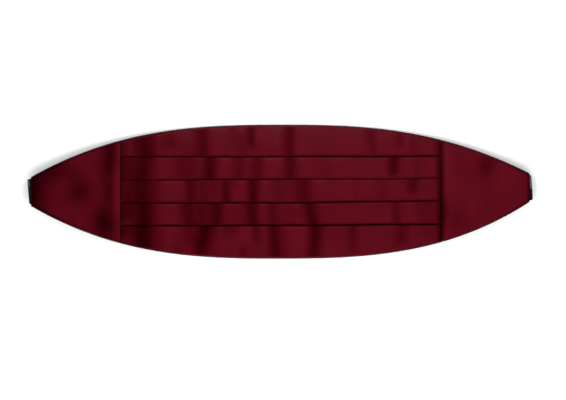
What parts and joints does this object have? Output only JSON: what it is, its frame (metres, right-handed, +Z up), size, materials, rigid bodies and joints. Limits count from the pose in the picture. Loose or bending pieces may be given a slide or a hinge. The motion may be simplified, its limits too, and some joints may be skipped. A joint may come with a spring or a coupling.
{
  "type": "cummerbund",
  "caption": "Satin cummerbund laid flat: pleated middle, plain tapered side panels, and black elastic straps folded under each end.",
  "frame": {"origin": "centre of the flat underside, on the surface that the band lies on", "axes": "+X along the band towards the eye end, +Y towards the edge worn uppermost, +Z up from the surface, out of the satin face"},
  "size_m": [0.5038, 0.134, 0.0177],
  "materials": {
    "satin": "burgundy polyester satin, soft sheen",
    "back_cloth": "black twill, matt",
    "elastic": "black ribbed elastic",
    "closure_metal": "black enamelled steel"
  },
  "bodies": {
    "root": {"back": "back_cloth", "pleated_front": "satin", "side_left": "satin", "side_right": "satin", "strap_left": "elastic", "strap_right": "elastic", "hook": "closure_metal", "eye": "closure_metal"}
  },
  "joints": []
}
